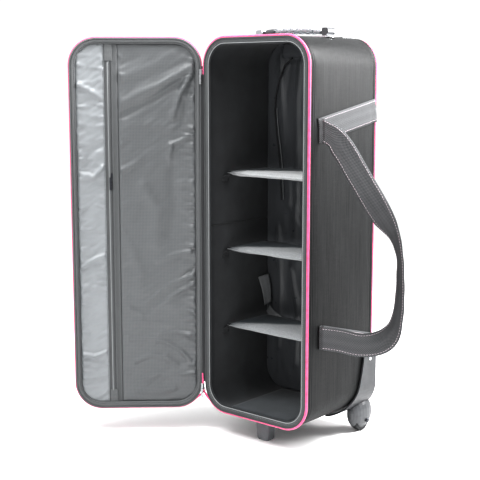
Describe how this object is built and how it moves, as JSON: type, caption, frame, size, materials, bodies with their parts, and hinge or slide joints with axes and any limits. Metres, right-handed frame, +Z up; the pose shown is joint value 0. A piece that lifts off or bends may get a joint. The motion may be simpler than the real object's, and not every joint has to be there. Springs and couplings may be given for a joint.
{
  "type": "rolling kit case",
  "caption": "Tall soft-sided trolley case on two wheels and a foot, with a zipped front lid standing open, padded dividers and webbing loops.",
  "frame": {"origin": "centre of the front foot's bottom face, on the floor", "axes": "+Z up, the open front faces -Y, +X to the right of a person facing the front"},
  "size_m": [0.6241, 0.4243, 0.8378],
  "materials": {
    "outer_fabric": "matte",
    "pink_piping": "satin",
    "zip_tape": "matte",
    "felt_lining": "matte",
    "black_nylon": "satin",
    "silver_ripstop": "satin",
    "divider_fabric": "satin",
    "webbing": "matte",
    "grey_moulding": "satin",
    "tyre": "matte",
    "zip_metal": "satin",
    "aluminium_tube": "satin",
    "silver_grip": "satin",
    "floor_card": "matte"
  },
  "bodies": {
    "case": {"case_shell": "outer_fabric", "rear_panel": "outer_fabric", "front_piping": "pink_piping", "rear_piping": "pink_piping", "case_zip_tape": "zip_tape", "case_lining": "felt_lining", "rear_lining_panel": "black_nylon", "floor_board": "floor_card", "tie_strap_tab": "webbing", "tie_strap": "webbing", "tie_strap_buckle": "grey_moulding", "hinge_strip": "outer_fabric", "front_foot": "grey_moulding", "handle_base_plate": "aluminium_tube", "pull_handle_tray": "grey_moulding", "tube_bracket": "grey_moulding", "main_zip_slider_top": "zip_metal", "main_zip_slider_bottom": "zip_metal", "strap_band_left_top": "webbing", "strap_band_left_bottom": "webbing", "corner_guard_left": "grey_moulding", "guard_rivet_left": "zip_metal", "wheel_fender_left": "grey_moulding", "wheel_axle_left": "zip_metal", "handle_cap_left": "silver_grip", "outer_tube_left": "aluminium_tube", "strap_band_right_top": "webbing", "strap_band_right_bottom": "webbing", "corner_guard_right": "grey_moulding", "guard_rivet_right": "zip_metal", "wheel_fender_right": "grey_moulding", "wheel_axle_right": "zip_metal", "handle_cap_right": "silver_grip", "outer_tube_right": "aluminium_tube"},
    "lid": {"lid_shell": "outer_fabric", "lid_inner_piping": "pink_piping", "lid_outer_piping": "pink_piping", "lid_zip_tape": "zip_tape", "lid_lining_main": "silver_ripstop", "lid_lining_strip": "silver_ripstop", "pocket_zip_tape": "zip_tape"},
    "pocket_slider": {"pocket_zip_slider": "zip_metal"},
    "pocket_pull": {"pocket_zip_pull": "zip_metal"},
    "zip_pull_top": {"main_zip_pull_top": "zip_metal"},
    "zip_pull_bottom": {"main_zip_pull_bottom": "zip_metal"},
    "divider_top_body": {"divider_top": "divider_fabric"},
    "divider_middle_body": {"divider_middle": "divider_fabric"},
    "divider_bottom_body": {"divider_bottom": "divider_fabric"},
    "loop_left": {"handle_loop_left": "webbing"},
    "loop_right": {"handle_loop_right": "webbing"},
    "wheel_left": {"wheel_hub_left": "grey_moulding", "wheel_tyre_left": "tyre"},
    "wheel_right": {"wheel_hub_right": "grey_moulding", "wheel_tyre_right": "tyre"},
    "carry_handle": {"carry_handle_grip": "silver_grip"},
    "pull_handle": {"inner_tube_left": "aluminium_tube", "inner_tube_right": "aluminium_tube", "pull_grip": "grey_moulding"},
    "button": {"release_button": "silver_grip"}
  },
  "joints": [
    {"name": "lid_hinge", "type": "hinge", "parent": "case", "child": "lid", "pos_m": [-0.1365, -0.0395, 0.43], "axis": [0, 0, -1], "range_deg": [-136.8, 20]},
    {"name": "pocket_zip_travel", "type": "slide", "parent": "lid", "child": "pocket_slider", "axis": [0, 0, 1], "range_m": [-0.43, 0.21]},
    {"name": "pocket_pull_swing", "type": "hinge", "parent": "pocket_slider", "child": "pocket_pull", "pos_m": [-0.2795, -0.16405, 0.538], "axis": [-0.729, -0.6845, 0], "range_deg": [0, 150]},
    {"name": "zip_pull_top_swing", "type": "hinge", "parent": "case", "child": "zip_pull_top", "pos_m": [-0.137, -0.0462, 0.7465], "axis": [-1, 0, 0], "range_deg": [0, 110]},
    {"name": "zip_pull_bottom_swing", "type": "hinge", "parent": "case", "child": "zip_pull_bottom", "pos_m": [-0.137, -0.0462, 0.0905], "axis": [-1, 0, 0], "range_deg": [0, 110]},
    {"name": "divider_top_height", "type": "slide", "parent": "case", "child": "divider_top_body", "axis": [0, 0, 1], "range_m": [-0.06, 0.06]},
    {"name": "divider_middle_height", "type": "slide", "parent": "case", "child": "divider_middle_body", "axis": [0, 0, 1], "range_m": [-0.06, 0.06]},
    {"name": "divider_bottom_height", "type": "slide", "parent": "case", "child": "divider_bottom_body", "axis": [0, 0, 1], "range_m": [-0.06, 0.06]},
    {"name": "loop_right_swing", "type": "hinge", "parent": "case", "child": "loop_right", "pos_m": [0.1355, -0.003, 0.43], "axis": [0, 0, 1], "range_deg": [-30, 35]},
    {"name": "loop_left_swing", "type": "hinge", "parent": "case", "child": "loop_left", "pos_m": [-0.1355, -0.003, 0.43], "axis": [0, 0, -1], "range_deg": [-30, 35]},
    {"name": "wheel_right_spin", "type": "hinge", "parent": "case", "child": "wheel_right", "pos_m": [0.113, 0.177, 0.024], "axis": [1, 0, 0], "continuous": true},
    {"name": "wheel_left_spin", "type": "hinge", "parent": "case", "child": "wheel_left", "pos_m": [-0.113, 0.177, 0.024], "axis": [1, 0, 0], "continuous": true},
    {"name": "carry_handle_lift", "type": "slide", "parent": "case", "child": "carry_handle", "axis": [0, 0, 1], "range_m": [0, 0.0075], "stiffness_N_per_m": 150},
    {"name": "pull_handle_extend", "type": "slide", "parent": "case", "child": "pull_handle", "axis": [0, 0, 1], "range_m": [0, 0.28]},
    {"name": "release_button_press", "type": "slide", "parent": "pull_handle", "child": "button", "axis": [0, 0, -1], "range_m": [0, 0.003], "stiffness_N_per_m": 400}
  ]
}
